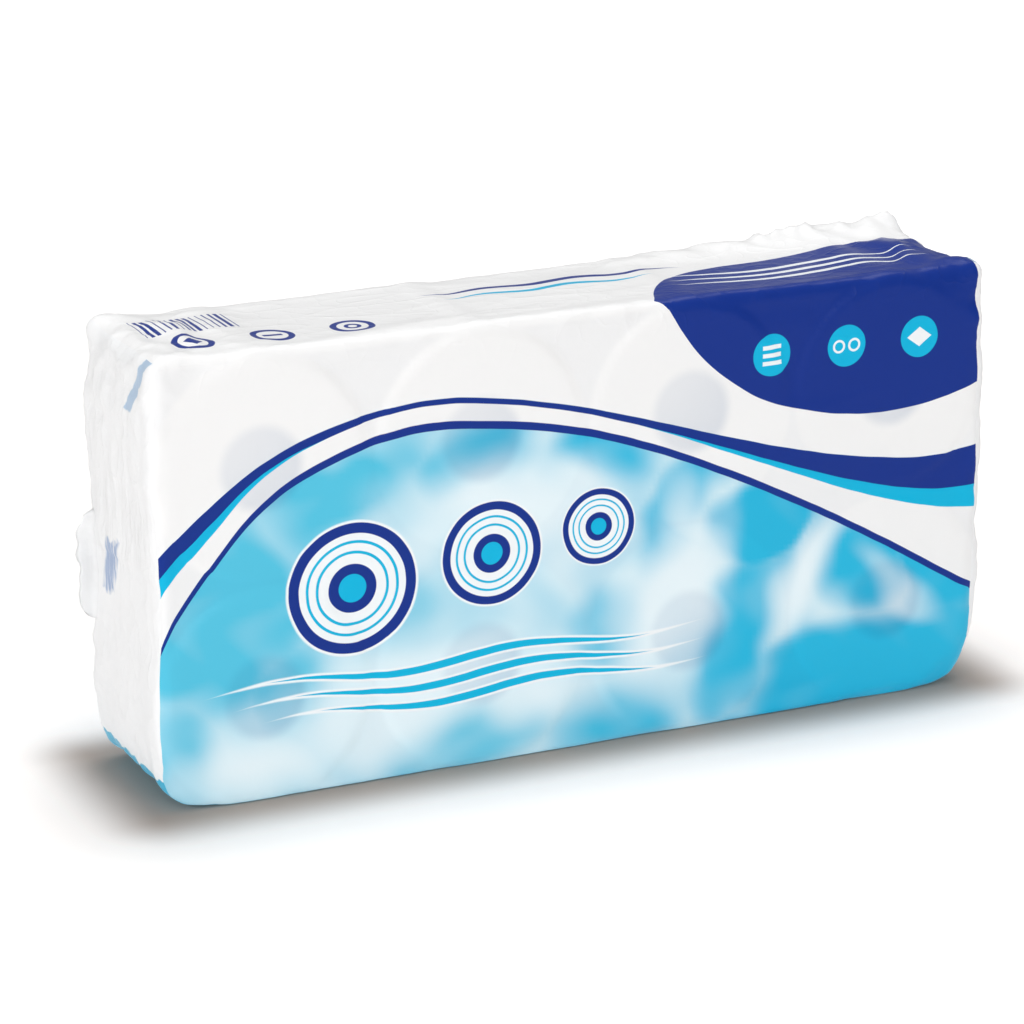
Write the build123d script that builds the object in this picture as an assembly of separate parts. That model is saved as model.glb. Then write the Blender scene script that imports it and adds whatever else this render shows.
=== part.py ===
from build123d import *
import os

# A pack of toilet paper: soft paper rolls on card cores, squeezed together in a sealed film bag.
# Millimetres. +X runs along the pack, +Y from its printed front to its back, +Z up.
# The origin is the middle of the base. The rolls lie with their axes along Y.

# Rolls
columns = 4                 # rolls side by side along X
rows = 2                    # rolls one above another along Z
roll_diameter = 119.6       # a free roll, before the bag squeezes it
roll_width = 96.0           # along the roll's axis: the width of a sheet
neighbour_squash = 0.9      # how far two neighbours press into each other, along X and along Z
roll_gap = 0.3              # clearance between the flats of two neighbours
roll_edge_radius = 6.0      # soft edge around each end of a roll
roll_flat_blend = 30.0      # radius that eases a flat spot into the round
end_squash = 4.8            # how far the bag's ends press the outer rolls in
base_squash = 5.3           # how far the bottom rolls settle under the pack's weight
top_slack = 1.7             # spare height above the top rolls

# Card cores
core_bore = 41.0
core_wall = 0.9
core_fit = 0.1              # clearance between a core and the paper wound on it
core_set_back = 0.5         # how far a core stops short of each end of its roll

# Film bag
film_wall = 0.4
film_gap = 0.25             # clearance between the film and what it holds
top_corner = 10.0           # outer corner radius at the ends, above
base_corner = 25.0          # outer corner radius at the ends, below
lap_height = 14.0           # lengthwise lap seal on the back
lap_centre = 150.0          # its height above the base
lap_end_margin = 12.0       # where it stops before each end
seal_height = 38.0          # sealed band across each folded end
seal_centre = 133.0
seal_layers = 2             # extra layers of film in that band
fin_reach = 6.0             # loose fin of sealed film at the back edge of each end
fin_height = 56.0
fin_centre = 109.0
fin_thickness = 0.8
fin_edge_radius = 3.5
fin_root = 3.0              # how far the fin runs in over the bag's back edge

# Worked out from those
roll_radius = roll_diameter / 2
roll_pitch = roll_diameter - neighbour_squash
half_pitch = (roll_pitch - roll_gap) / 2
core_radius = core_bore / 2 + core_wall
bag_clearance = film_wall + film_gap
bag_length = (columns - 1) * roll_pitch + 2 * (roll_radius - end_squash + bag_clearance)
bag_height = (rows - 1) * roll_pitch + 2 * (roll_radius + bag_clearance) - base_squash + top_slack
bag_depth = roll_width + 2 * bag_clearance
bag_centre_y = -film_wall / 2       # the lap seal stands out from the back by one film
root_depth = film_wall / 2          # how deep a seal's root reaches into the wall it is welded to
bag_back_y = bag_centre_y + bag_depth / 2
bag_edge_radius = roll_edge_radius + bag_clearance
first_column_x = -(columns - 1) * roll_pitch / 2
first_row_z = roll_radius - base_squash + bag_clearance


def along_y(profile, length):
    """A profile drawn in X and Z, made a solid that is centred on the bag's middle plane."""
    front_plane = Plane.XZ.offset(-bag_centre_y - length / 2)
    return extrude(front_plane * profile, length)


def end_edges(solid):
    """The edges around a solid's front and back faces."""
    faces = solid.faces().sort_by(Axis.Y)
    loops = [faces[0].outer_wire(), faces[-1].outer_wire()]
    return [edge for loop in loops for edge in loop.edges()]


def roll_limits(column, row):
    """How far a roll reaches from its centre: left, right, down and up."""
    free = roll_diameter    # well clear of the round
    left = half_pitch if column > 0 else roll_radius - end_squash
    right = half_pitch if column < columns - 1 else roll_radius - end_squash
    down = half_pitch if row > 0 else roll_radius - base_squash
    up = half_pitch if row < rows - 1 else free
    return left, right, down, up


def make_roll(column, row):
    """Paper wound on a core, with a flat spot wherever it is pressed."""
    left, right, down, up = roll_limits(column, row)
    limits = Pos((right - left) / 2, (up - down) / 2) * Rectangle(left + right, down + up)
    profile = Circle(roll_radius) & limits
    profile = fillet(profile.vertices(), roll_flat_blend)
    roll = along_y(profile, roll_width)
    roll = fillet(end_edges(roll), roll_edge_radius)
    return roll - along_y(Circle(core_radius + core_fit), roll_width)


def make_core():
    """A card tube, open at both ends."""
    ring = Circle(core_radius) - Circle(core_bore / 2)
    return along_y(ring, roll_width - 2 * core_set_back)


def bag_block(inset):
    """The bag's outline as a block, inset by a wall or by nothing."""
    half_length = bag_length / 2 - inset
    top = bag_height - inset
    outline = Pos(0, (top + inset) / 2) * Rectangle(2 * half_length, top - inset)
    corners = outline.vertices().sort_by(Axis.Y)
    outline = fillet(corners[:2], base_corner - inset)
    corners = outline.vertices().filter_by(lambda corner: corner.Y > top - inset - 0.001)
    outline = fillet(corners, top_corner - inset)
    block = along_y(outline, bag_depth - 2 * inset)
    return fillet(end_edges(block), bag_edge_radius - inset)


def make_lap():
    """The lengthwise seal: one more layer of film lying on the back, its root within the wall."""
    length = bag_length - 2 * lap_end_margin
    thickness = film_wall + root_depth
    return Pos(0, bag_back_y + film_wall - thickness / 2, lap_centre) * Box(length, thickness, lap_height)


def make_end_seal(side):
    """The sealed band across a folded end, its root within the wall."""
    proud = seal_layers * film_wall
    band = Box(proud + root_depth, bag_depth - 2 * bag_edge_radius, seal_height)
    return Pos(side * (bag_length / 2 + (proud - root_depth) / 2), bag_centre_y, seal_centre) * band


def make_fin(side):
    """A loose fin of sealed film that stands out along X in the plane of the bag's back."""
    root_x = bag_length / 2 - bag_edge_radius - fin_root
    tip_x = bag_length / 2 + fin_reach
    fin = Box(tip_x - root_x, fin_thickness, fin_height)
    tip_edges = fin.edges().filter_by(Axis.Y).group_by(Axis.X)[-1]
    fin = fillet(tip_edges, fin_edge_radius)
    if side < 0:
        fin = mirror(fin, about=Plane.YZ)
    fin_y = bag_back_y - fin_thickness / 2
    return Pos(side * (root_x + tip_x) / 2, fin_y, fin_centre) * fin


def make_film():
    """The whole bag: one closed skin with its lap seal, end seals and fins."""
    body = bag_block(0) + make_lap()
    for side in (-1, 1):
        body = body + make_end_seal(side) + make_fin(side)
    return body - bag_block(film_wall)


parts = {"film_wrap": make_film()}
core = make_core()
for row in range(rows):
    for column in range(columns):
        number = 1 + column + row * columns
        place = Pos(first_column_x + column * roll_pitch, 0, first_row_z + row * roll_pitch)
        parts[f"roll_{number}"] = place * make_roll(column, row)
        parts[f"core_{number}"] = place * core

os.makedirs("parts", exist_ok=True)
for name, solid in parts.items():
    export_step(solid, f"parts/{name}.step")
    box = solid.bounding_box()
    print(name, len(solid.solids()), "solid,", round(solid.volume), "mm3,", box.size)
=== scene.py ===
# %% [markdown]
# # A pack of toilet paper in printed film
#
# The real object is eight soft paper rolls on card cores, squeezed into one bag of thin milky film. The
# bag is a printed web folded into a tube, lap-sealed along the back, tucked in at both ends like a parcel
# and welded there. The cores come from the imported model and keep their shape. What this script makes is
# the bag as it really looks, its print, and the soft rolls of paper inside it.

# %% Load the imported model
import math

import bmesh
import bpy
import numpy as np
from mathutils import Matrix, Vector, noise


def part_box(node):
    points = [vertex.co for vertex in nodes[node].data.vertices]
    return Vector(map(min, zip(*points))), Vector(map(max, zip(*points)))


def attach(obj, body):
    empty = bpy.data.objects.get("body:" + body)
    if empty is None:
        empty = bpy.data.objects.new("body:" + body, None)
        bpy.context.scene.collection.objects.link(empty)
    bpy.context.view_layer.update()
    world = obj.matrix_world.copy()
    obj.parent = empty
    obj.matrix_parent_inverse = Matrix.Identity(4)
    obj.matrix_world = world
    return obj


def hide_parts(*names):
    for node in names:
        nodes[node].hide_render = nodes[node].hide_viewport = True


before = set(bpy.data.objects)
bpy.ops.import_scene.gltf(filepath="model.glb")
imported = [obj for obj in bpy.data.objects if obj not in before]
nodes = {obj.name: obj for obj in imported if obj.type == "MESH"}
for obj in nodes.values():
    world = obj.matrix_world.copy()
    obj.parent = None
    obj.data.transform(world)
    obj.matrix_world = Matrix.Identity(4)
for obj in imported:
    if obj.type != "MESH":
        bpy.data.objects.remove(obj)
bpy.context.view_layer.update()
print(len(nodes), "nodes loaded")

# %% [markdown]
# ## Sizes that everything else follows
#
# The bag's CAD solid gives the length and height. Its depth is that of a roll plus the film, and the
# middle of the rolls gives the bag's middle plane, because the loose fins and the seam reach past the bag
# itself. The cores say where each roll is, which the painted shade needs too: the film gets painted shade
# where no paper lies behind it.

# %% Measure the bag, the rolls and the cores
roll_boxes = [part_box(f"roll_{n}") for n in range(1, 9)]
core_boxes = [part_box(f"core_{n}") for n in range(1, 9)]
core_centres = [(lo + hi) / 2 for lo, hi in core_boxes]

film_gap = 0.00065                      # from a roll to the outside of the film
rolls_lo = Vector([min(lo[i] for lo, hi in roll_boxes) for i in range(3)])
rolls_hi = Vector([max(hi[i] for lo, hi in roll_boxes) for i in range(3)])
half_length = rolls_hi.x + film_gap
front_y = rolls_lo.y - film_gap
back_y = rolls_hi.y + film_gap
middle_y = (front_y + back_y) / 2
depth = back_y - front_y
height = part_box("film_wrap")[1].z
pitch = core_centres[1].x - core_centres[0].x
low_row = core_centres[0].z
core_radius = (core_boxes[0][1].x - core_boxes[0][0].x) / 2
roll_radius = pitch / 2
print("bag", round(2 * half_length, 4), round(depth, 4), round(height, 4), "pitch", round(pitch, 4))

# %% [markdown]
# ## A way to write patterns
#
# A pattern is arithmetic on places: a distance to a line, a blur of its edge, a colour for what is
# inside. Node by node that is long to write, so a Field stands for a node's output and lets + - * / add
# the Math nodes.

# %% Fields
sharp_edge = 0.0004                     # how wide the edge of a printed shape is


class Field:
    """A number that changes over the surface: the output of a node in the material being made."""

    tree = None

    def __init__(self, socket):
        self.socket = socket

    def __add__(self, other):
        return math_node("ADD", self, other)

    def __sub__(self, other):
        return math_node("SUBTRACT", self, other)

    def __rsub__(self, other):
        return math_node("SUBTRACT", other, self)

    def __mul__(self, other):
        return math_node("MULTIPLY", self, other)

    def __truediv__(self, other):
        return math_node("DIVIDE", self, other)

    __radd__, __rmul__ = __add__, __mul__


def add_node(kind, **settings):
    """A node in the material being made."""
    node = Field.tree.nodes.new(kind)
    for name, value in settings.items():
        setattr(node, name, value)
    return node


def feed(socket, value):
    """Links a Field or sets a plain number or colour."""
    if isinstance(value, Field):
        Field.tree.links.new(value.socket, socket)
    elif isinstance(value, tuple) and len(value) == 3 and socket.type == "RGBA":
        socket.default_value = (*value, 1)
    else:
        socket.default_value = value


def math_node(operation, *values, clamp=False):
    """One Math node."""
    node = add_node("ShaderNodeMath", operation=operation, use_clamp=clamp)
    for socket, value in zip(node.inputs, values):
        feed(socket, value)
    return Field(node.outputs[0])


def distance_from(a):
    """A number without its sign."""
    return math_node("ABSOLUTE", a)


def stripes(place, spacing):
    """Even waves, -1 to 1."""
    return math_node("SINE", place * (2 * math.pi / spacing))


def size_of(a, b):
    """The length of a flat vector."""
    return math_node("SQRT", a * a + b * b)


def both(a, b):
    return math_node("MINIMUM", a, b)


def either(a, b):
    return math_node("MAXIMUM", a, b)


def ramp(value, from_low, from_high, to_low, to_high, shape="LINEAR"):
    """One range of numbers stretched onto another."""
    node = add_node("ShaderNodeMapRange", interpolation_type=shape, clamp=True)
    for socket, number in zip(node.inputs, (value, from_low, from_high, to_low, to_high)):
        feed(socket, number)
    return Field(node.outputs["Result"])


def within(distance, blur=sharp_edge):
    """1 where a distance is negative, 0 where it is positive, blurred over a width."""
    return ramp(distance, -blur / 2, blur / 2, 1, 0, "SMOOTHSTEP")


def mix_colours(way, under, over, amount):
    """Two colours joined in one of the Mix node's ways."""
    node = add_node("ShaderNodeMix", data_type="RGBA", blend_type=way)
    for name, value in (("Factor", amount), ("A", under), ("B", over)):
        feed(node.inputs[name], value)
    return Field(node.outputs["Result"])


def paint(under, over, mask):
    """One colour over another where the mask is 1."""
    return mix_colours("MIX", under, over, mask)


def pattern_noise(place, scale, detail=2.0, roughness=0.5):
    """Noise, 0 to 1, read at a place."""
    node = add_node("ShaderNodeTexNoise", noise_dimensions="3D")
    for name, value in (("Vector", place), ("Scale", scale), ("Detail", detail), ("Roughness", roughness)):
        feed(node.inputs[name], value)
    return Field(node.outputs["Fac"])


def place_of(x=0.0, y=0.0, z=0.0):
    """Three numbers joined as a place."""
    node = add_node("ShaderNodeCombineXYZ")
    for socket, value in zip(node.inputs, (x, y, z)):
        feed(socket, value)
    return Field(node.outputs[0])


def split(place):
    """A place's three numbers."""
    node = add_node("ShaderNodeSeparateXYZ")
    feed(node.inputs[0], place)
    return tuple(Field(socket) for socket in node.outputs)


def uv_place(name):
    """Where a corner of the mesh lies in one of its own maps."""
    u, v, _ = split(Field(add_node("ShaderNodeUVMap", uv_map=name).outputs[0]))
    return u, v


def object_place():
    """The piece's own coordinates, which are the frame's."""
    return Field(add_node("ShaderNodeTexCoord").outputs["Object"])


def seen_by_camera():
    """1 for what the camera sees itself, 0 for light that bounces."""
    return Field(add_node("ShaderNodeLightPath").outputs["Is Camera Ray"])


def line_through(x, points, low, high, top_value):
    """A smooth line through a few points given in millimetres."""
    node = add_node("ShaderNodeFloatCurve")
    feed(node.inputs["Value"], (x - low) / (high - low))
    curve = node.mapping.curves[0]
    marks = [((a * 0.001 - low) / (high - low), b * 0.001 / top_value) for a, b in points]
    curve.points[0].location = marks[0]
    curve.points[1].location = marks[-1]
    for mark in marks[1:-1]:
        curve.points.new(*mark)
    node.mapping.update()
    return Field(node.outputs[0]) * top_value


def start_material(name, kind="ShaderNodeBsdfPrincipled"):
    """A material that the next Fields go into, with its main shader and its output."""
    material = bpy.data.materials.new(name)
    material.use_nodes = True
    Field.tree = material.node_tree
    Field.tree.nodes.clear()
    shader = add_node(kind)
    surface = add_node("ShaderNodeOutputMaterial").inputs["Surface"]
    feed(surface, Field(shader.outputs[0]))
    return material, shader, surface


def bump(height, strength, distance):
    """Turns a height into bent normals."""
    node = add_node("ShaderNodeBump")
    for name, value in (("Height", height), ("Strength", strength), ("Distance", distance)):
        feed(node.inputs[name], value)
    return Field(node.outputs[0])


def plain(*colour):
    """A colour as it is mixed on a screen, 0 to 255, made linear light."""
    return tuple((c / 255 / 12.92) if c < 11 else ((c / 255 + 0.055) / 1.055) ** 2.4 for c in colour)


print("fields ready")

# %% [markdown]
# ## Camera
#
# A long lens from the front left, a little above, shows the printed front, the top and one folded end. It
# is placed by azimuth, elevation and distance around a point inside the pack, so each number says what it
# does.

# %% Place the camera
camera_azimuth = math.radians(-25.5)
camera_elevation = math.radians(17.4)
camera_distance = 2.072
camera_target = Vector((-0.0192, 0.0, 0.1166))
camera_lens = 140.3

away = Vector((math.sin(camera_azimuth) * math.cos(camera_elevation),
               -math.cos(camera_azimuth) * math.cos(camera_elevation), math.sin(camera_elevation)))
camera_data = bpy.data.cameras.new("camera")
camera_data.lens = camera_lens
camera_data.clip_end = 20
camera = bpy.data.objects.new("camera", camera_data)
bpy.context.collection.objects.link(camera)
camera.location = camera_target + away * camera_distance
camera.rotation_euler = away.to_track_quat("Z", "Y").to_euler()
bpy.context.scene.camera = camera
bpy.context.scene.view_settings.view_transform = "Standard"
print("camera at", [round(c, 3) for c in camera.location])

# %% [markdown]
# ## Light
#
# White film needs light from all round, with a few directions stronger so that the wrinkles read. The
# world gives the even part, brighter above than at the horizon, so that the glossy top doesn't mirror a
# white wall. Three large soft lamps give the rest: one over the top, one for the front and one for the
# end. To the camera alone the world is plain white.

# %% Light the pack


def add_lamp(name, place, target, size, power):
    """A square area lamp that looks at a point."""
    data = bpy.data.lights.new(name, "AREA")
    data.size = size
    data.energy = power
    lamp = bpy.data.objects.new(name, data)
    lamp.location = place
    lamp.rotation_euler = (Vector(place) - Vector(target)).to_track_quat("Z", "Y").to_euler()
    bpy.context.collection.objects.link(lamp)
    return lamp


add_lamp("top_lamp", (0.5, 0.5, 2.4), (0, 0, 0.2), 1.6, 24)
add_lamp("front_lamp", (-0.1, -2.3, 0.8), (0, 0, 0.1), 1.2, 16.5)
add_lamp("side_lamp", (-2.2, -0.6, 0.9), (0, 0, 0.1), 1.2, 17.5)

horizon_light, zenith_light = 0.28, 0.55
full_light_from = 0.8                   # how far up a direction points before it gets the full light


def make_world():
    """White light from all round, stronger from above. The camera itself sees plain white."""
    world = bpy.data.worlds.new("world")
    bpy.context.scene.world = world
    world.use_nodes = True
    Field.tree = world.node_tree
    Field.tree.nodes.clear()
    upward = split(Field(add_node("ShaderNodeTexCoord").outputs["Generated"]))[2]
    room_light = add_node("ShaderNodeBackground")
    feed(room_light.inputs["Color"], (1, 1, 1))
    feed(room_light.inputs["Strength"], ramp(upward, 0.0, full_light_from, horizon_light, zenith_light))
    white_back = add_node("ShaderNodeBackground")
    feed(white_back.inputs["Color"], (1, 1, 1))
    either_light = add_node("ShaderNodeMixShader")
    for socket, value in zip(either_light.inputs, (seen_by_camera(), room_light, white_back)):
        feed(socket, value if isinstance(value, Field) else Field(value.outputs[0]))
    feed(add_node("ShaderNodeOutputWorld").inputs["Surface"], Field(either_light.outputs[0]))


make_world()

# %% [markdown]
# ## The bag: a block of even squares
#
# The film starts as a cube at the bag's size. Cutting its edges one direction at a time gives squares of
# about 5 mm everywhere, so that a crease may run any way. Before it is shaped, each corner of each square
# is told where it lies on the flat web: along the pack, and round it from the bottom front edge up the
# front and over the top. The print is drawn in those numbers, so it bends with the film and runs unbroken
# from the front over the top.

# %% Cut the block into squares
cell = 0.0052


def pick(obj):
    """Makes one object the only one selected."""
    bpy.ops.object.select_all(action="DESELECT")
    obj.select_set(True)
    bpy.context.view_layer.objects.active = obj


def select_where(kind, test):
    """In edit mode, selects the edges or faces that pass a test and nothing else."""
    bpy.ops.mesh.select_mode(type=kind)
    bpy.ops.mesh.select_all(action="DESELECT")
    data = bpy.context.object.data
    mesh = bmesh.from_edit_mesh(data)
    for item in mesh.edges if kind == "EDGE" else mesh.faces:
        item.select_set(test(item))
    bmesh.update_edit_mesh(data)


def runs_along(edge, axis):
    """Whether an edge lies along an axis."""
    way = edge.verts[1].co - edge.verts[0].co
    return abs(way[axis]) > 0.9 * way.length


bpy.ops.object.select_all(action="DESELECT")
bpy.ops.mesh.primitive_cube_add(size=1)
film = bpy.context.object
film.name = "film_bag"
bpy.ops.object.mode_set(mode="EDIT")
bpy.ops.mesh.select_all(action="SELECT")
bpy.ops.transform.resize(value=(2 * half_length, depth, height))
bpy.ops.transform.translate(value=(0, middle_y, height / 2))
for axis, length in enumerate((2 * half_length, depth, height)):
    select_where("EDGE", lambda edge: runs_along(edge, axis))
    bpy.ops.mesh.subdivide(number_cuts=round(length / cell) - 1)
bpy.ops.object.mode_set(mode="OBJECT")
print("film block", len(film.data.vertices), "corners", len(film.data.polygons), "squares")

# %% Write the web coordinates
front, back, top, base, end_left, end_right = range(6)


def panel_of(normal):
    """Which side of the block a face belongs to."""
    if abs(normal.x) > 0.5:
        return end_right if normal.x > 0 else end_left
    if abs(normal.y) > 0.5:
        return back if normal.y > 0 else front
    return top if normal.z > 0 else base


def web_place(panel, co):
    """Along the pack, and round the web from the bottom front edge."""
    across = co.y - front_y
    if panel in (end_left, end_right):
        outwards = half_length + 0.004 + min(across, depth - across)
        return (outwards if panel == end_right else -outwards), co.z
    if panel == front:
        return co.x, co.z
    if panel == top:
        return co.x, height + across
    if panel == back:
        return co.x, 2 * height + depth - co.z
    return co.x, -across


web = film.data.uv_layers[0]
web.name = "web"
rest = film.data.uv_layers.new(name="rest")
for face in film.data.polygons:
    panel = panel_of(face.normal)
    for loop in face.loop_indices:
        co = film.data.vertices[film.data.loops[loop].vertex_index].co
        web.data[loop].uv = web_place(panel, co)
        rest.data[loop].uv = (co.y, co.z)
print("web runs to", round(2 * height + 2 * depth, 3), "m round the pack")

# %% Mark the strips that the fins are pulled from
fin_low, fin_high = 0.080, 0.138
strip_marks = []
for face in film.data.polygons:
    at_back = back_y - 2.2 * cell < face.center.y < back_y - 1.2 * cell
    strip_marks.append(abs(face.normal.x) > 0.5 and at_back and fin_low < face.center.z < fin_high)
strip = film.data.attributes.new("fin_strip", "BOOLEAN", "FACE")
strip.data.foreach_set("value", strip_marks)
print("strips of", sum(strip_marks), "squares")

# %% [markdown]
# ## Round the block
#
# Film can't hold a sharp corner. Each point is moved to the nearest place on a rounded block: a profile
# seen from the front with small corners above and large ones below, where the soft rolls leave the film
# room, and one radius for every edge between that profile and the front or back.

# %% Round the corners
top_corner = 0.010
base_corner = 0.025
edge_radius = 0.0066


def round_between(past_one, past_other, radius):
    """Signed distance to two walls that meet in a radius, from how far past each wall a place is."""
    one, other = past_one + radius, past_other + radius
    outside = np.hypot(np.maximum(one, 0), np.maximum(other, 0))
    return outside + np.minimum(np.maximum(one, other), 0) - radius


def inside_block(points):
    """Signed distance to the rounded block, negative inside."""
    x, y, z = points.T
    corner = np.where(z > height / 2, top_corner, base_corner)
    profile = round_between(np.abs(x) - half_length, np.abs(z - height / 2) - height / 2, corner)
    return round_between(profile, np.abs(y - middle_y) - depth / 2, edge_radius)


def read_points(obj):
    """A mesh's corners as rows of x, y, z."""
    flat = np.empty(len(obj.data.vertices) * 3)
    obj.data.vertices.foreach_get("co", flat)
    return flat.reshape(-1, 3)


def write_points(obj, points):
    """Puts moved corners back."""
    obj.data.vertices.foreach_set("co", points.ravel())
    obj.data.update()


def slope(distance, points):
    """Which way a distance grows, by small steps along each axis."""
    steps = 1e-5 * np.eye(3)
    away = np.stack([distance(points + step) - distance(points - step) for step in steps], axis=1)
    return away / np.maximum(np.linalg.norm(away, axis=1, keepdims=True), 1e-12)


block = read_points(film)
for _ in range(4):
    block -= inside_block(block)[:, None] * slope(inside_block, block)
write_points(film, block)
print("rounded, furthest corner off by", round(float(np.abs(inside_block(block)).max()), 6))

# %% [markdown]
# ## Let the film find its own wrinkles
#
# A bag pulled over soft rolls bulges between its edges and puckers along them, and no noise pattern looks
# quite like that. So the block becomes cloth for a moment: a little pressure inside, plain cylinders for
# the rolls, no gravity. Each point may then keep only a few millimetres of its move, because the bag's
# size is known.

# %% Blow up the bag a little
blow_frames = 15
film_cloth = {"quality": 6, "mass": 0.05, "air_damping": 2,
              "tension_stiffness": 60, "compression_stiffness": 20, "shear_stiffness": 20,
              "bending_stiffness": 0.02,
              "tension_damping": 15, "compression_damping": 15, "shear_damping": 15,
              "use_pressure": True, "uniform_pressure_force": 3.0}
start_unevenness = 0.0002               # breaks the block's symmetry, so that the film can buckle
most_move = 0.0042
form_inset, form_end_inset = 0.002, 0.0045   # how much smaller a form is than its roll
touch_distance = 0.001
end_calm, calm_from, calm_reach = 0.35, 0.003, 0.02     # the welded ends keep less of their move


def add_roll_form(centre):
    """A plain cylinder that the film can't pass."""
    bpy.ops.object.select_all(action="DESELECT")
    place = (centre.x, middle_y, centre.z)
    bpy.ops.mesh.primitive_cylinder_add(vertices=48, radius=roll_radius - form_inset,
                                        depth=depth - 2 * form_end_inset, location=place,
                                        rotation=(math.pi / 2, 0, 0))
    form = bpy.context.object
    form.modifiers.new("collide", "COLLISION")
    form.collision.thickness_outer = touch_distance
    return form


def blow_up(obj):
    """Runs the cloth and returns where each corner went."""
    cloth = obj.modifiers.new("cloth", "CLOTH")
    for name, value in film_cloth.items():
        setattr(cloth.settings, name, value)
    cloth.settings.effector_weights.gravity = 0
    cloth.collision_settings.use_collision = True
    cloth.collision_settings.distance_min = touch_distance
    cloth.collision_settings.use_self_collision = False
    for step in range(1, blow_frames + 1):
        bpy.context.scene.frame_set(step)
    blown = obj.evaluated_get(bpy.context.evaluated_depsgraph_get())
    moved = read_points(blown)
    obj.modifiers.remove(cloth)
    bpy.context.scene.frame_set(1)
    return moved


uneven = np.random.default_rng(5).normal(0, start_unevenness, block.shape)
write_points(film, block + uneven)
forms = [add_roll_form(centre) for centre in core_centres]
moves = blow_up(film) - block
for form in forms:
    bpy.data.objects.remove(form)
from_end = np.clip((half_length - calm_from - np.abs(block[:, 0])) / calm_reach, 0, 1)
moves *= (end_calm + (1 - end_calm) * from_end)[:, None]
lengths = np.linalg.norm(moves, axis=1, keepdims=True)
kept = np.minimum(lengths, most_move * np.tanh(lengths / most_move))
block = block + moves * kept / np.maximum(lengths, 1e-9)
write_points(film, block)
print("blown up, kept at most", round(float(kept.max()), 4), "m of each move")

# %% [markdown]
# ## Settle and refine
#
# The pack's weight keeps its base flat on the ground. One level of subdivision then gives 2.6 mm squares,
# fine enough for the small creases.

# %% Flatten the base and subdivide
lowest_film = 0.0001
base_spread = 0.0018                    # how much wider the pack sits at its base, each end
spread_height = 0.13

points = read_points(film)
points[:, 2] = np.maximum(points[:, 2], lowest_film)
spread = base_spread * np.clip(1 - points[:, 2] / spread_height, 0, 1)
points[:, 0] *= 1 + spread / half_length
write_points(film, points)

pick(film)
finer = film.modifiers.new("finer", "SUBSURF")
finer.levels = 1
finer.render_levels = 1
finer.uv_smooth = "NONE"
bpy.ops.object.modifier_apply(modifier=finer.name)
print("finer film", len(film.data.polygons), "squares")

# %% [markdown]
# ## Loose fins of sealed film
#
# At each end a tongue of welded film stands out at the back edge. It is pulled out of the bag's own skin:
# the marked strip of squares is extruded in steps and pinched thin, so bag and fin stay one closed piece.
# Then the tongue is crumpled a little, more towards its tip.

# %% Pull out the fins
fin_steps = (0.0022, 0.003, 0.003, 0.0026)
fin_taper = (0.9, 0.52, 0.975)          # how each step narrows along X, Y and Z
fin_round = 0.013                       # how far from its ends the tongue tapers


def pull_fin(side):
    """Extrudes the marked strip of one end, thinner at each step."""
    marks = film.data.attributes["fin_strip"].data
    wanted = {face.index for face in film.data.polygons
              if marks[face.index].value and face.center.x * side > 0}
    bpy.ops.object.mode_set(mode="EDIT")
    select_where("FACE", lambda face: face.index in wanted)
    for step in fin_steps:
        bpy.ops.mesh.extrude_region_move(TRANSFORM_OT_translate={"value": (side * step, 0, 0)})
        bpy.ops.transform.resize(value=fin_taper)
    bpy.ops.object.mode_set(mode="OBJECT")


for side in (-1, 1):
    pull_fin(side)
film.data.attributes.remove(film.data.attributes["fin_strip"])
print("with fins", len(film.data.polygons), "squares")

# %% [markdown]
# ## Creases
#
# What the cloth can't give at this grid is the small stuff: crumpled film where it is tucked in at the
# ends, sharp upright ripples where the hot bar welded it, a lap line where the upper flap covers the
# lower one, the lengthwise seal along the back, and fine puckers along the edges. Each is a height along
# the surface's own normal, faded by how near its place is.

# %% Crease the film
end_reach = 0.010                           # how far in from an end the film is still crushed
weld_height, weld_spread = 0.144, 0.024     # the bar's weld on each end
lap_line, lap_wander, lap_blur = 0.121, 0.006, 0.0012
lap_seal_height, lap_seal_half, lap_seal_margin = 0.150, 0.007, 0.012
lap_seal_step, back_reach = 0.0026, 0.006
pucker_reach = 0.016                        # how far in from an edge it puckers
corner_reach = 0.045
base_calm = 0.006                           # no creases this near the ground
ridge_reach, ridge_depth = 0.030, 0.012     # a slack fold of film that stands up along the back edge
ridge_start, ridge_height = 0.05, 0.0125
ridge_left_reach, ridge_left_height = 0.05, 0.004
bulge_reach, bulge_out = 0.018, 0.0045      # the right end's slack
bulge_height, bulge_spread = 0.105, 0.055
fin_from, fin_length, fin_wave = 0.002, 0.008, 0.0035


def fade(distance, reach):
    """1 at nothing, 0 from the reach on, smooth between."""
    t = np.clip(1 - distance / reach, 0, 1)
    return t * t * (3 - 2 * t)


def grain(places, scale, seed):
    """Smooth noise, about -1 to 1, at a scale for each axis."""
    shifted = places * np.array(scale) + seed
    return np.array([noise.noise(row) for row in shifted])


def crumple(places, scale, seed):
    """Noise with sharp ridges, about 0 to 1: film that has been crushed."""
    return 1 - 2.2 * np.abs(grain(places, (scale,) * 3, seed))


points = read_points(film)
normals = np.empty(len(points) * 3)
film.data.vertices.foreach_get("normal", normals)
normals = normals.reshape(-1, 3)
to_end = np.maximum(half_length - np.abs(points[:, 0]), 0)
to_side = np.maximum(np.minimum(points[:, 1] - front_y, back_y - points[:, 1]), 0)
to_top = np.maximum(height - points[:, 2], 0)
to_base = np.maximum(points[:, 2], 0)

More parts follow.
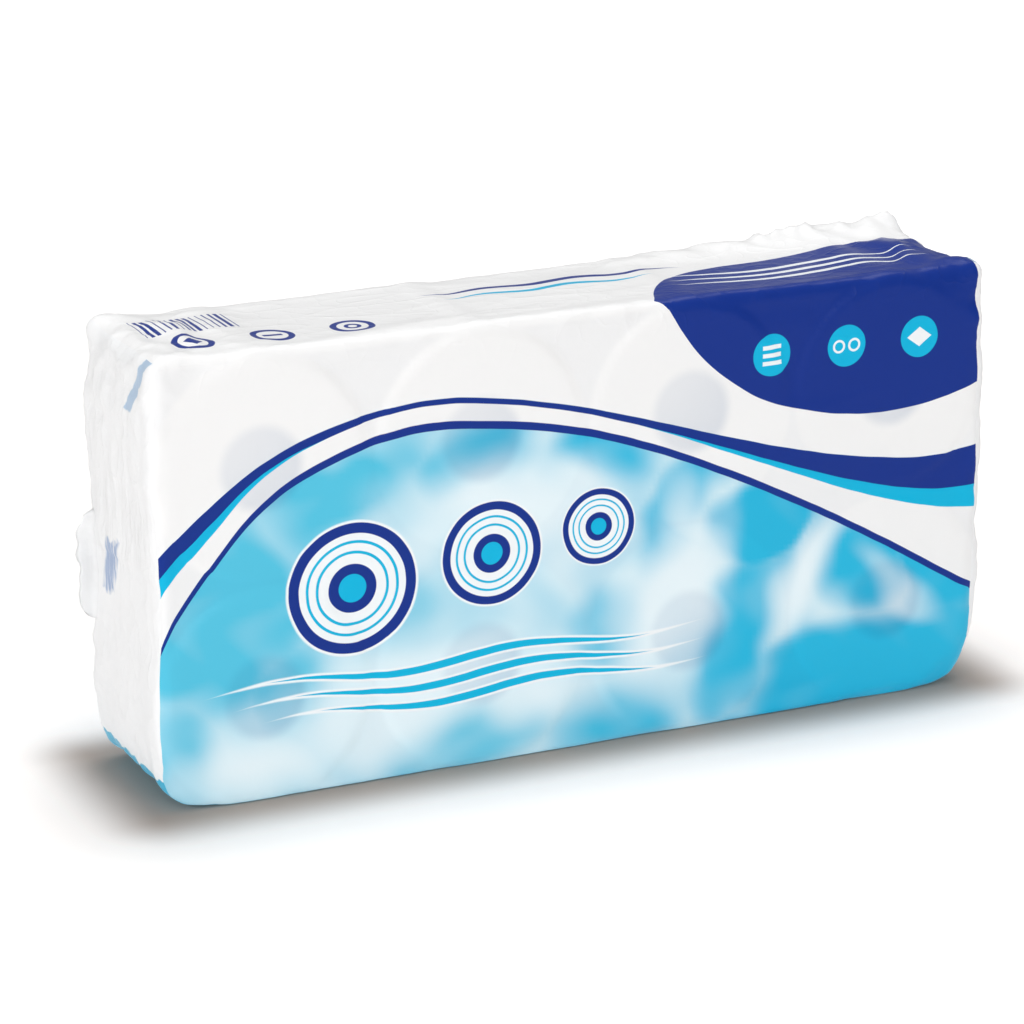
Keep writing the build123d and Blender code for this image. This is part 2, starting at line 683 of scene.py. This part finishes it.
on_end = fade(to_end, end_reach)
weld = on_end * np.exp(-((points[:, 2] - weld_height) / weld_spread) ** 2)
long_edge = fade(to_side, pucker_reach) * fade(to_top, pucker_reach)
upright_edge = fade(to_side, pucker_reach) * fade(to_end, pucker_reach)
cross_edge = fade(to_top, pucker_reach) * fade(to_end, pucker_reach)
corner = fade(to_end + 0.6 * to_top, corner_reach)

on_back = fade(back_y - points[:, 1], back_reach) * np.clip((to_end - lap_seal_margin) / 0.003, 0, 1)
seal_side = np.abs(points[:, 2] - lap_seal_height) - lap_seal_half
lap_seal = on_back * np.clip(0.5 - seal_side / lap_seal_step, 0, 1)

lap = lap_line + lap_wander * grain(points, (0, 30, 0), 3.0)
heights = 0.0006 * on_end * np.tanh((points[:, 2] - lap) / lap_blur)
heights += lap_seal * (0.0007 + 0.0003 * grain(points, (260, 20, 60), 27.0))
for height_there, where, scale, seed in (
        (0.0009, weld, (40, 300, 22), 7.7),
        (0.0004, on_end, (20, 190, 14), 31.7),
        (0.0007, long_edge, (75, 30, 30), 2.2),
        (0.0009, upright_edge, (30, 30, 110), 5.9),
        (0.0010, cross_edge, (30, 110, 30), 9.4)):
    heights += height_there * where * grain(points, scale, seed)
for height_there, where, scale, seed in (
        (0.0006, on_end, 38, 11.3), (0.0005, on_end, 95, 4.1),
        (0.0022, corner, 48, 21.7), (0.0008, corner, 120, 1.9)):
    heights += height_there * where * crumple(points, scale, seed)
heights *= np.clip(to_base / base_calm, 0, 1)

behind = fade(back_y - points[:, 1], ridge_reach) * fade(to_top, ridge_depth)
right_ridge = np.clip((points[:, 0] - ridge_start) / (half_length - ridge_start), 0, 1) ** 0.7
left_ridge = fade(points[:, 0] + half_length, ridge_left_reach)
lift = behind * (ridge_height * right_ridge + ridge_left_height * left_ridge)
lift *= 0.8 + 0.35 * crumple(points, 70, 41.2)

bulge = np.clip((points[:, 0] - half_length + bulge_reach) / bulge_reach, 0, 1) ** 2
bulge *= bulge_out * np.exp(-((points[:, 2] - bulge_height) / bulge_spread) ** 2)

beyond = np.clip((np.abs(points[:, 0]) - half_length - fin_from) / fin_length, 0, 1)
points += normals * (heights * (1 - beyond))[:, None]
points[:, 2] += lift
points[:, 0] += bulge
points[:, 1] += fin_wave * beyond * grain(points, (60, 0, 70), 13.0)
stands = np.clip(np.minimum(points[:, 2] - fin_low, fin_high - points[:, 2]) / fin_round, 0, 1) ** 0.5
torn = (0.25 + 0.75 * stands) * (0.85 + 0.45 * grain(points, (0, 0, 110), 17.0))
past_end = np.maximum(np.abs(points[:, 0]) - half_length - 0.003, 0)
points[:, 0] -= np.sign(points[:, 0]) * past_end * (1 - torn) * beyond
print("creases up to", round(float(np.abs(heights).max()), 4))

# %% Keep the film off the rolls
roll_round = 0.0598
roll_edge = 0.006
roll_clearance = 0.0004


def inside_rolls(places):
    """Signed distance to the nearest roll, negative inside: a round that the bag's walls have flattened."""
    x, y, z = places.T
    past_ends = np.abs(y - middle_y) - depth / 2 + film_gap
    drums = [round_between(np.hypot(x - centre.x, z - centre.z) - roll_round, past_ends, roll_edge)
             for centre in core_centres]
    return np.maximum(np.min(drums, axis=0), inside_block(places) + film_gap)


for _ in range(3):
    sunk = roll_clearance - inside_rolls(points)
    touched = sunk > 0
    points[touched] += sunk[touched, None] * slope(inside_rolls, points[touched])
points[:, 2] = np.maximum(points[:, 2], lowest_film)
write_points(film, points)
pick(film)
bpy.ops.object.shade_smooth()
print("deepest point is", round(float(inside_rolls(points).min()), 5), "from a roll")

# %% [markdown]
# ## A floor that is white and still holds a shadow
#
# A pale matte floor, with a painted contact shadow right beside the pack, as under any soft thing that
# sits on a table. A little further off a glow that only the camera sees clears the shadow to white, and
# far away it makes up for the light that fades. Both patterns are the distance to the pack's own footprint.

# %% Make the floor
floor_white = (0.925, 0.9, 0.885)
painted_contact_shadow = (0.42, 0.36, 0.325)      # painted shadow right beside the pack, where little light gets in
contact_shadow_reach = 0.042
clear_glow, clear_reach = 0.23, 0.085
far_glow, far_from, far_to = 0.6, 0.4, 2.0


def make_floor_material():
    """Matte and pale, with a painted contact shadow beside the pack and a glow for the camera that grows away
    from it.
    """
    material, matte, surface = start_material("floor_white", "ShaderNodeBsdfDiffuse")
    x, y, _ = split(object_place())
    off_x = either(distance_from(x) - half_length, 0.0)
    off_y = either(distance_from(y) - depth / 2, 0.0)
    off_pack = size_of(off_x, off_y)
    # painted contact shadow beside the pack
    contact_shadow = within(off_pack - contact_shadow_reach / 2, contact_shadow_reach)
    clear = within(clear_reach / 2 - off_pack, clear_reach)
    far = within((far_from + far_to) / 2 - size_of(x, y), far_to - far_from)
    to_camera = seen_by_camera()
    # the camera sees the painted contact shadow, and bounced light sees the plain floor
    feed(matte.inputs["Color"], paint(floor_white, painted_contact_shadow, contact_shadow * to_camera))
    glow = add_node("ShaderNodeEmission")
    feed(glow.inputs["Strength"], to_camera * (clear * clear_glow + far * far_glow))
    both_shaders = add_node("ShaderNodeAddShader")
    feed(both_shaders.inputs[0], Field(matte.outputs[0]))
    feed(both_shaders.inputs[1], Field(glow.outputs[0]))
    feed(surface, Field(both_shaders.outputs[0]))
    return material


bpy.ops.object.select_all(action="DESELECT")
bpy.ops.mesh.primitive_plane_add(size=30, location=(0, 0, 0))
floor = bpy.context.object
floor.name = "floor"
floor.data.materials.append(make_floor_material())
print("floor", tuple(round(c, 1) for c in floor.dimensions))

# %% [markdown]
# ## The print
#
# The print is fields of colour in web coordinates: x along the pack, v up the front and over the top. A
# navy band rises from the left, swells at the right and has a cyan shadow. A thin navy line runs below it
# and holds in a soft blue-and-white blur. A navy lens lies over the front's top edge. Small plain signs,
# rings and bars stand where such a pack has its words, and say nothing.

# %% Colours of the print
navy = plain(12, 48, 138)
cyan = plain(0, 182, 224)
sky = plain(84, 196, 226)
pale = plain(218, 240, 248)
film_white = plain(245, 245, 245)
sign_white = plain(244, 248, 250)

# %% Lines of the print, in millimetres from the middle and up the web
# Each row: a place along the pack, then the band's top, the band's foot, its shadow's foot and the thin line.
arc_rows = [(-234, 135, 124, 114, 86.5), (-205, 160, 151, 145, 128), (-174, 180, 175, 173, 159),
            (-142, 192, 187.5, 187.5, 175), (-104, 199, 196, 196.5, 185), (-82, 200, 197, 197.5, 186),
            (-60, 198, 195, 195.5, 184), (-14, 189, 186, 186.5, 176), (31, 176, 172, 172, 162),
            (78, 161, 155, 153, 142), (126, 147, 137, 133, 118), (162, 139, 125, 118.5, 98),
            (200, 134, 116, 107, 75), (234, 136, 113, 100, 53)]
band_top, band_low, shadow_low, thin_line = ([(row[0], row[n]) for row in arc_rows] for n in range(1, 5))
lens_low = [(-234, 245), (36, 245), (40, 241), (46, 231), (55, 217), (66, 203), (84, 188), (102, 177),
            (126, 169), (156, 163), (187, 162.5), (212, 166), (234, 171)]
lens_top = [(-234, 235), (36, 236), (40, 241), (46, 254), (58, 270), (74, 283), (95, 291), (133, 296),
            (162, 300), (200, 304), (234, 300)]
print_edge, highest_line = 0.234, 0.4


def web_line(x, points):
    """A line of the print: how far up the web it is at each x."""
    return line_through(x, points, -print_edge, print_edge, highest_line)


# %% Small plain signs


def disc(x, v, centre, radius):
    """Signed distance to a disc, negative inside, as with every sign here."""
    return size_of(x - centre[0], v - centre[1]) - radius


def ring(x, v, centre, radius, stroke):
    """A ring's line."""
    return distance_from(disc(x, v, centre, radius)) - stroke / 2


def bar(x, v, centre, half_width, half_height):
    """An upright bar, near enough."""
    return either(distance_from(x - centre[0]) - half_width, distance_from(v - centre[1]) - half_height)


def wave(x, v, centre, half_width, rise, length, stroke):
    """A wavy line that thins towards its ends."""
    off_end = distance_from(x - centre[0]) / half_width
    thinned = (1 - off_end * off_end) * (stroke / 2)
    return distance_from(v - (stripes(x - centre[0], length) * rise + centre[1])) - thinned


def lozenge(x, v, centre, half_width, half_height):
    """A lozenge, near enough."""
    across, along = distance_from(x - centre[0]) / half_width, distance_from(v - centre[1]) / half_height
    return (across + along - 1) * min(half_width, half_height)


def nearest(distances):
    """The union of several shapes."""
    joined = distances[0]
    for distance in distances[1:]:
        joined = both(joined, distance)
    return joined


def roll_sign(x, v, colour, centre, radius):
    """A roll seen from its end: a white disc in a navy line, two cyan turns and a core."""
    colour = paint(colour, sign_white, within(disc(x, v, centre, radius * 1.05), 0.0012))
    colour = paint(colour, navy, within(ring(x, v, centre, radius * 0.93, radius * 0.16)))
    turns = nearest([ring(x, v, centre, radius * share, radius * 0.045) for share in (0.72, 0.56)])
    colour = paint(colour, cyan, within(turns))
    colour = paint(colour, navy, within(disc(x, v, centre, radius * 0.38)))
    return paint(colour, cyan, within(disc(x, v, centre, radius * 0.22)))


# %% [markdown]
# ### The soft blur
#
# The blur behind the signs has no sharp edge anywhere, so it needs no nodes: its colour is worked out
# once for each corner of each square and kept on the mesh, where the material reads it back. It is a few
# blurred blue ovals, with white ones over them, pushed about by slow waves.

# %% Colour the soft blur
# Each spot, in millimetres: its place along and up the web, its two radii, its lean, its blur, and then
# how strong it is.
blue_spots = [(-205, 105, 55, 55, 0.5, 50, 1), (-135, 160, 50, 22, 0.5, 30, 1),
              (-68, 170, 30, 18, 0.1, 20, 0.9), (12, 158, 30, 18, -0.6, 16, 0.8),
              (52, 128, 34, 16, 0.9, 12, 0.7), (100, 112, 28, 24, 0.3, 12, 1),
              (160, 88, 34, 26, -0.5, 14, 0.9), (88, 52, 22, 44, -0.4, 16, 0.8),
              (176, 18, 85, 36, 0.1, 18, 1), (-70, 12, 40, 20, 0.2, 30, 0.8),
              (-162, 60, 20, 28, 0.3, 26, 0.8), (18, 12, 34, 20, 0.3, 22, 0.8),
              (214, 62, 24, 40, 0.2, 12, 0.9), (-228, 34, 18, 40, 0, 26, 0.8),
              (10, 62, 24, 20, 1.1, 20, 0.55), (-100, 86, 26, 20, 0.4, 26, 0.45)]
white_spots = [(-40, 138, 52, 18, -0.2, 36, 1), (-95, 48, 60, 18, 0.2, 36, 1),
               (50, 78, 26, 46, -0.3, 30, 1), (-180, 20, 34, 13, 0.2, 26, 0.9),
               (128, 78, 10, 34, -0.5, 16, 1), (66, 106, 14, 30, 0.4, 20, 0.8),
               (188, 62, 8, 26, 0.9, 12, 0.6), (-30, 40, 30, 14, -0.4, 28, 0.8)]


def smooth_step(amount):
    """0 to 1, eased at both ends."""
    t = np.clip(amount, 0, 1)
    return t * t * (3 - 2 * t)


def slow_waves(x, v, length, turn):
    """Gentle waves crossing one another, about -1 to 1."""
    a = np.sin((x * math.cos(turn) + v * math.sin(turn)) * (2 * math.pi / length) + turn * 5)
    b = np.sin((v * math.cos(turn) - x * math.sin(turn)) * (2 * math.pi / (length * 0.73)) + 2.0 * a)
    return 0.5 * (a + b)


def blend_spots(x, v, spots):
    """The strongest of several blurred ovals."""
    amount = np.zeros(len(x))
    for centre_x, centre_v, radius_x, radius_v, lean, blur, strength in spots:
        across, along = x * 1000 - centre_x, v * 1000 - centre_v
        turned_x = across * math.cos(lean) + along * math.sin(lean)
        turned_v = along * math.cos(lean) - across * math.sin(lean)
        outside = (np.hypot(turned_x / radius_x, turned_v / radius_v) - 1) * min(radius_x, radius_v)
        amount = np.maximum(amount, strength * smooth_step(0.5 - outside / blur))
    return amount


def mixed(under, over, amount):
    """Rows of colour, one over another."""
    return under + (np.array(over) - under) * amount[:, None]


def soft_colours(x, v):
    """Pale and sky blue run into each other, deeper towards the right and below."""
    warped_x = x + 0.006 * slow_waves(x, v, 0.075, 0.7)
    warped_v = v + 0.007 * slow_waves(x, v, 0.120, 2.1)
    whitened = blend_spots(warped_x, warped_v, white_spots)
    blue = 0.85 * blend_spots(warped_x, warped_v, blue_spots) + 0.18 + 0.16 * slow_waves(x, v, 0.055, 1.3)
    blue = np.clip(blue, 0, 1) * (1 - whitened * 0.85)
    colour = mixed(np.tile(pale, (len(x), 1)), sky, blue)
    colour = mixed(colour, cyan, 0.8 * blue * smooth_step(0.5 + (x + v * 0.5 - 0.03) / 0.16))
    return mixed(colour, plain(246, 252, 254), whitened * 0.6)


flat = np.empty(len(film.data.loops) * 2)
film.data.uv_layers["web"].data.foreach_get("uv", flat)
web_x, web_v = flat[0::2], flat[1::2]
behind = web_v > height + depth
web_x = np.where(behind, -web_x, web_x)
web_v = np.where(behind, 2 * height + depth - web_v, web_v)
colours = np.ones((len(web_x), 4))
colours[:, :3] = soft_colours(web_x, web_v)
soft_print = film.data.attributes.new("soft_print", "FLOAT_COLOR", "CORNER")
soft_print.data.foreach_set("color", colours.ravel())
print("soft blur on", len(colours), "corners")

# %% All the print together
behind_shade = (0.79, 0.82, 0.87)       # painted shade where nothing pale lies behind the film: core bores and gaps between rolls
thin_line_half = 0.0021
roll_signs = (((-0.130, 0.108), 0.034), ((-0.054, 0.116), 0.027), ((0.006, 0.122), 0.020))
lens_row = 0.2005                       # how far up the web the lens's discs lie
lens_discs = [(x, lens_row) for x in (0.106, 0.150, 0.194)]
lens_disc_radius = 0.0112


def front_and_top(x, v, unlit):
    """The printed colour at a place on the front or top, with painted shade where no paper backs it."""
    top_of_band, low_of_band = web_line(x, band_top), web_line(x, band_low)
    low_of_shadow, line = web_line(x, shadow_low), web_line(x, thin_line)
    blur = Field(add_node("ShaderNodeAttribute", attribute_name="soft_print").outputs["Color"])
    colour = paint(film_white, blur, within(v - line, 0.0012))
    # painted shade of the core bores and the gaps between rolls, seen through the film
    colour = paint(colour, mix_colours("MULTIPLY", colour, behind_shade, 1.0), unlit)
    colour = paint(colour, navy, within(distance_from(v - line) - thin_line_half))
    colour = paint(colour, cyan, within(either(low_of_shadow - v, v - top_of_band)))
    colour = paint(colour, navy, within(either(low_of_band - v, v - top_of_band)))

    for centre, radius in roll_signs:
        colour = roll_sign(x, v, colour, centre, radius)
    waves = nearest([wave(x, v, (-0.070 + 0.008 * n, 0.062 - 0.0095 * n), 0.105 - 0.006 * n,
                          rise=0.0028, length=0.130, stroke=0.0042) for n in range(3)])
    colour = paint(colour, sign_white, within(waves - 0.0012, 0.0012))
    colour = paint(colour, cyan, within(waves))
    return paint(colour, *lens_over(x, v))


def lens_over(x, v):
    """The navy lens with its three discs."""
    lens = either(web_line(x, lens_low) - v, v - web_line(x, lens_top))
    (bars_x, _), (rings_x, _), sheet_place = lens_discs
    discs = nearest([disc(x, v, centre, lens_disc_radius) for centre in lens_discs])
    colour = paint(navy, cyan, within(discs))
    bars = nearest([bar(x, v, (bars_x, lens_row + 0.0042 * n), 0.0056, 0.0011) for n in (-1, 0, 1)])
    rings = nearest([ring(x, v, (rings_x + 0.0045 * n, lens_row), 0.0030, 0.0012) for n in (-1, 1)])
    sheet = lozenge(x, v, sheet_place, 0.0072, 0.0054)
    colour = paint(colour, sign_white, within(nearest([bars, rings, sheet])))
    streamers = nearest([wave(x, v, (0.140, 0.262 + 0.009 * n), 0.075, rise=0.002, length=0.09, stroke=0.0036)
                         for n in range(3)])
    colour = paint(colour, sign_white, within(streamers))
    return colour, within(lens)


def top_signs(x, v):
    """Small marks on the top: bars, three round signs and a wavy row."""
    bar_middle, bar_half, bar_pitch = -0.1945, 0.0275, 0.0034
    count = (x - bar_middle + bar_half) / bar_pitch
    uneven = math_node("FRACT", math_node("SINE", math_node("FLOOR", count) * 12.99) * 437.6)
    line = distance_from(math_node("FRACT", count) - 0.5) - 0.08 - uneven * 0.24
    bars = either(line * bar_pitch, bar(x, v, (bar_middle, height + 0.061), bar_half, 0.0135))
    places = [(place, height + 0.027) for place in (-0.203, -0.160, -0.117)]
    rounds = nearest([ring(x, v, place, 0.0098, 0.0034) for place in places])
    inner = nearest([lozenge(x, v, places[0], 0.0055, 0.0055), bar(x, v, places[1], 0.0052, 0.0016),
                     ring(x, v, places[2], 0.0034, 0.0022)])
    dark_wave = wave(x, v, (0.010, height + 0.063), 0.075, rise=0.002, length=0.05, stroke=0.0052)
    light_wave = wave(x, v, (0.004, height + 0.052), 0.060, rise=0.002, length=0.05, stroke=0.0040)
    return nearest([bars, rounds, inner, dark_wave]), light_wave


print("print has", len(band_top), "points in its longest line")

# %% [markdown]
# ## The film
#
# The film is smooth and a little glossy, printed on the front, top, back and base and bare at the ends.
# It is milky, so where no paper backs it, over a core's mouth or a gap between rolls, painted shade makes
# it a little darker and bluer, placed from the rolls' own places. Fine streaks from the welding bar
# and soft crush marks are a bump, and the larger creases are in the mesh.

# %% The film's material
bare_film = plain(245, 246, 247)
mark_grey, mark_blue, sliver_blue = plain(150, 172, 208), plain(150, 184, 216), plain(60, 180, 216)
right_print_edge, left_print_edge = 0.2305, -0.2347
# painted shade over the core mouths and the gaps between rolls, and a painted lighter side in each mouth
mouth_shade_depth, mouth_painted_light_lean, mouth_blur = 0.80, 0.18, 0.0075
gap_shade_depth, gap_blur = 0.15, 0.004
film_roughness, film_shine = 0.3, 0.18
film_bump, film_bump_height = 0.45, 0.0008


def in_pitch(count):
    """How far a place is from the middle of its own roll, from its place counted in rolls."""
    return (math_node("FRACT", count) - 0.5) * pitch


def painted_bore_and_gap_shade():
    """Painted shade over the core mouths and the gaps between rolls: a mouth's upper left is painted lighter,
    as if lit from there.
    """
    x, _, z = split(object_place())
    over_x, over_z = in_pitch(x / pitch), in_pitch((z - low_row) / pitch + 0.5)
    reach = size_of(over_x, over_z)
    lit_side = (over_z - over_x) / core_radius
    # painted shade in each mouth, painted lighter towards its upper left
    mouth = within(reach - core_radius, mouth_blur) * (mouth_shade_depth - lit_side * mouth_painted_light_lean)
    return mouth + within(roll_radius - 0.001 - reach, gap_blur) * gap_shade_depth


def end_marks(y, z, colour):
    """Bits of print that show on the folded ends."""
    wobble = pattern_noise(place_of(y, z, 5.0), 120.0) - 0.5
    patch = bar(y + (z - 0.114) * 0.35, z + wobble * 0.012, (0.014, 0.115), 0.0080, 0.015)
    streaks = pattern_noise(place_of(y * 9.0, z * 0.7, 1.0), 45.0)
    colour = paint(colour, mark_grey, within(patch, 0.003) * within(0.42 - streaks, 0.22) * 0.9)
    ribbon_y = -0.039 + (0.232 - z) * 0.72
    ribbon = either(distance_from(y - ribbon_y) - 0.0046, distance_from(z - 0.222) - 0.017)
    colour = paint(colour, mark_blue, within(ribbon + wobble * 0.004, 0.0016) * 0.75)
    sliver = z - 0.0165 - wobble * 0.012
    return paint(colour, sliver_blue, within(sliver, 0.0012))


def sharp_folds(place):
    """Thin raised lines, as film keeps where it was once folded."""
    closeness = 1 - distance_from(pattern_noise(place, 1.0, 0.5) - 0.5) * 5
    return math_node("POWER", either(closeness, 0.0), 5.0)


def make_film_material():
    """The printed film."""
    material, shader, _ = start_material("printed_film")
    x, v = uv_place("web")
    rest_y, rest_z = uv_place("rest")
    on_back = within(height + depth - v)
    face_x = x * (1 - on_back * 2)
    face_v = v + (2 * height + depth - v * 2) * on_back
    below = within(v)
    upright = both(within(v - height + 0.004, 0.004), 1 - below)
    # painted shade over the bores and gaps, on the front and the back
    unlit = painted_bore_and_gap_shade() * either(upright, on_back)
    printed = front_and_top(face_x, face_v, unlit)
    dark_signs, light_signs = top_signs(x, v)
    printed = paint(printed, navy, within(dark_signs))
    printed = paint(printed, cyan, within(light_signs))
    printed = paint(printed, sky, below)
    seal_v = 2 * height + depth - lap_seal_height
    seal = bar(x, v, (0.0, seal_v), half_length - lap_seal_margin, lap_seal_half)
    printed = paint(printed, film_white, within(seal, 0.0008) * 0.35)
    printed = paint(printed, film_white, within(distance_from(seal + 0.0008) - 0.0008))
    bare = end_marks(rest_y, rest_z, bare_film)
    ragged = (pattern_noise(place_of(0.0, rest_y, rest_z), 70.0, 3.0) - 0.5) * 0.0022
    off_web = within(both(right_print_edge - x, x - left_print_edge) + ragged, 0.0006)
    feed(shader.inputs["Base Color"], paint(printed, bare, off_web))
    shader.inputs["Roughness"].default_value = film_roughness
    shader.inputs["Specular IOR Level"].default_value = film_shine

    place = object_place()
    place_x, place_y, place_z = split(place)
    crush = pattern_noise(place, 150.0, 2.0, 0.6)
    streaks = pattern_noise(place_of(x * 40.0, place_y * 520.0, place_z * 30.0), 1.0, 1.0)
    weld_zone = math_node("EXPONENT", math_node("POWER", (rest_z - weld_height) / 0.03, 2.0) * -1)
    over_top = 1 - within(v - height + 0.012, 0.02)
    creased = either(off_web, over_top) * 0.8 + 0.12
    folds = sharp_folds(place_of(x * 26.0, place_y * 70.0, place_z * 40.0)) * 0.6
    folds = folds + sharp_folds(place_of(x * 80.0, place_y * 95.0, place_z * 60.0)) * 0.35
    on_fin = 1 - within(distance_from(place_x) - half_length - 0.004, 0.003)
    welded = either(weld_zone * off_web, on_fin)
    relief = crush * (0.2 + off_web * 0.8) + streaks * welded * 1.6 + folds * creased
    feed(shader.inputs["Normal"], bump(relief, film_bump, film_bump_height))
    return material


film_material = make_film_material()
film.data.materials.clear()
film.data.materials.append(film_material)
print("film material", len(film_material.node_tree.nodes), "nodes")

# %% [markdown]
# ## The rolls
#
# A roll is soft: hundreds of turns of tissue with an uneven end, rounded at its rim and flattened
# wherever it is pressed. One roll is modelled from a cylinder. Its ends are inset again and again into
# rings, the middle ones are bridged into the bore, and the rim is bevelled. Each copy is then drawn in
# towards its axis wherever a neighbour or the bag holds it, as far as its place in the pack allows, so no
# two rolls are the same.

# %% Model one roll
ring_step, ring_count = 0.0021, 16
length_cuts, bore_cuts, rim_segments = 17, 9, 4
free_round, free_rim = roll_round - 0.0003, roll_edge - 0.0006
paper_length = roll_boxes[0][1].y - roll_boxes[0][0].y
bore_radius = core_radius + 0.0002


def model_roll():
    """A free roll at the origin, its axis along Y."""
    bpy.ops.object.select_all(action="DESELECT")
    bpy.ops.mesh.primitive_cylinder_add(vertices=96, radius=free_round, depth=paper_length,
                                        rotation=(math.pi / 2, 0, 0))
    roll = bpy.context.object
    bpy.ops.object.transform_apply(location=False, rotation=True, scale=False)
    bpy.ops.object.mode_set(mode="EDIT")
    select_where("EDGE", lambda edge: runs_along(edge, 1))
    bpy.ops.mesh.subdivide(number_cuts=length_cuts)
    select_where("EDGE", lambda edge: all(abs(vert.co.y) > paper_length / 2 - 1e-5 for vert in edge.verts))
    bpy.ops.mesh.bevel(offset=free_rim, segments=rim_segments, profile=0.5)
    select_where("FACE", lambda face: abs(face.normal.y) > 0.99 and len(face.verts) > 8)
    for _ in range(ring_count - 1):
        bpy.ops.mesh.inset(thickness=ring_step, depth=0)
    rim_left = free_round - free_rim - (ring_count - 1) * ring_step - bore_radius
    bpy.ops.mesh.inset(thickness=rim_left, depth=0)
    bpy.ops.mesh.delete(type="FACE")
    select_where("EDGE", lambda edge: len(edge.link_faces) == 1)
    bpy.ops.mesh.bridge_edge_loops(number_cuts=bore_cuts)
    bpy.ops.mesh.select_all(action="SELECT")
    bpy.ops.mesh.normals_make_consistent(inside=False)
    bpy.ops.object.mode_set(mode="OBJECT")
    return roll


free_roll = model_roll()
print("a roll has", len(free_roll.data.polygons), "faces")

# %% Press and place each roll
press_sharpness = 26                    # how squarely a roll turns from its flat into the round
turn_relief = 0.00022
turn_pitch = 0.0063
paper_slack = 0.0004                    # what a roll leaves free of the wall that presses it
face_reach = 0.004
unevenness = 0.0004


def reach_at(angle, limits):
    """How far a pressed roll reaches at an angle: its round, cut by a wall on each of four sides."""
    right, left, up, down = limits
    inverse = np.full(len(angle), roll_round ** -press_sharpness)
    across, along = np.cos(angle), np.sin(angle)
    for toward, limit in ((across, right), (-across, left), (along, up), (-along, down)):
        inverse += (np.maximum(toward, 0) / limit) ** press_sharpness
    return inverse ** (-1 / press_sharpness)


def press_roll(roll, number):
    """Flattens a roll on the sides its box says, and makes its ends and face uneven."""
    lo, hi = roll_boxes[number - 1]
    centre = core_centres[number - 1]
    places = read_points(roll)
    radius = np.hypot(places[:, 0], places[:, 2])
    angle = np.arctan2(places[:, 2], places[:, 0])
    share = np.clip((radius - bore_radius) / (roll_round - bore_radius), 0, 1)
    on_face = np.clip((np.abs(places[:, 1]) - paper_length / 2 + face_reach) / face_reach, 0, 1)
    turns = 1 + np.sin(radius / turn_pitch * 2 * math.pi - angle + number)
    places[:, 1] -= np.sign(places[:, 1]) * on_face * np.clip(share * 2, 0, 1) * turn_relief * turns
    limits = (hi.x - centre.x, centre.x - lo.x, hi.z - centre.z, centre.z - lo.z)
    soft = unevenness * (1 + grain(places, (35, 18, 35), number * 3.1))
    pressed = reach_at(angle, limits) - paper_slack - soft
    shrink = 1 - share * (roll_round - pressed) / radius
    places[:, 0] *= shrink
    places[:, 2] *= shrink
    write_points(roll, places + np.array((centre.x, (lo.y + hi.y) / 2, centre.z)))


def place_rolls():
    """Eight copies of the roll, each pressed for its own place."""
    placed = []
    for number in range(1, 9):
        roll = bpy.data.objects.new(f"paper_roll_{number}", free_roll.data.copy())
        bpy.context.collection.objects.link(roll)
        press_roll(roll, number)
        pick(roll)
        bpy.ops.object.shade_smooth_by_angle(angle=math.radians(50))
        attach(roll, "root")
        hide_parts(f"roll_{number}")
        placed.append(roll)
    return placed


paper_rolls = place_rolls()
bpy.data.objects.remove(free_roll)
print("pressed", len(paper_rolls), "rolls")

# %% [markdown]
# ## Paper and card
#
# The paper is a soft white with fine turns on its ends and rows of pressed dots round the outside. A core
# is grey-brown card, wound from strips, so a spiral seam runs along it. All eight rolls share one
# material: the pattern repeats with the rolls' own pitch.

# %% Paper and card materials
turn_spacing, dot_spacing = 0.0013, 0.0042
paper_light, paper_dark = plain(243, 243, 240), plain(226, 226, 222)
card_light, card_dark, seam_brown = plain(180, 168, 150), plain(148, 136, 120), plain(120, 108, 94)
card_lead = 0.09                        # how far the core's seam runs along it in one turn



def from_axis(place):
    """How far a place is from its own roll's axis, sideways and up."""
    x, y, z = split(place)
    return in_pitch(x / pitch + 2.0), y, in_pitch((z - low_row) / pitch + 0.5)


def make_paper():
    """Wound tissue."""
    material, shader, _ = start_material("tissue_paper")
    across, along, up = from_axis(object_place())
    reach = size_of(across, up)
    wobble = pattern_noise(object_place(), 60.0)
    turns = stripes(reach + wobble * 0.0012, turn_spacing)
    on_end = 1 - within(distance_from(along) - 0.0455, 0.003)
    angle = math_node("ARCTAN2", up, across) * roll_radius
    dots = stripes(angle, dot_spacing) * stripes(along, dot_spacing)
    dimples = pattern_noise(object_place(), 420.0, 2.0)
    shade = turns * 0.3 * on_end + dots * 0.12 * (1 - on_end) + 0.35
    feed(shader.inputs["Base Color"], paint(paper_light, paper_dark, shade))
    shader.inputs["Roughness"].default_value = 0.94
    shader.inputs["Sheen Weight"].default_value = 0.15
    relief = turns * on_end * 0.5 + dots * (1 - on_end) * 0.6 + dimples * 0.7
    feed(shader.inputs["Normal"], bump(relief, 0.6, 0.0006))
    return material


def make_card():
    """Grey-brown core card with its spiral seam."""
    material, shader, _ = start_material("core_card")
    across, along, up = from_axis(object_place())
    turned = math_node("ARCTAN2", up, across) / (2 * math.pi)
    seam_place = math_node("FRACT", along / card_lead + turned + 4.0)
    seam = within(distance_from(seam_place - 0.5) - 0.008, 0.006)
    fibres = pattern_noise(object_place(), 240.0, 4.0, 0.65)
    colour = paint(card_light, card_dark, fibres)
    feed(shader.inputs["Base Color"], paint(colour, seam_brown, seam * 0.7))
    shader.inputs["Roughness"].default_value = 0.88
    feed(shader.inputs["Normal"], bump(fibres * 0.6 - seam, 0.5, 0.0005))
    return material


cores = [nodes[f"core_{number}"] for number in range(1, 9)]
for material, pieces in ((make_paper(), paper_rolls), (make_card(), cores)):
    for piece in pieces:
        piece.data.materials.clear()
        piece.data.materials.append(material)
print("paper on", len(paper_rolls), "rolls, card on", len(cores), "cores")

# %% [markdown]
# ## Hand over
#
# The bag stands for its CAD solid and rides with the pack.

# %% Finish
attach(film, "root")
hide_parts("film_wrap")
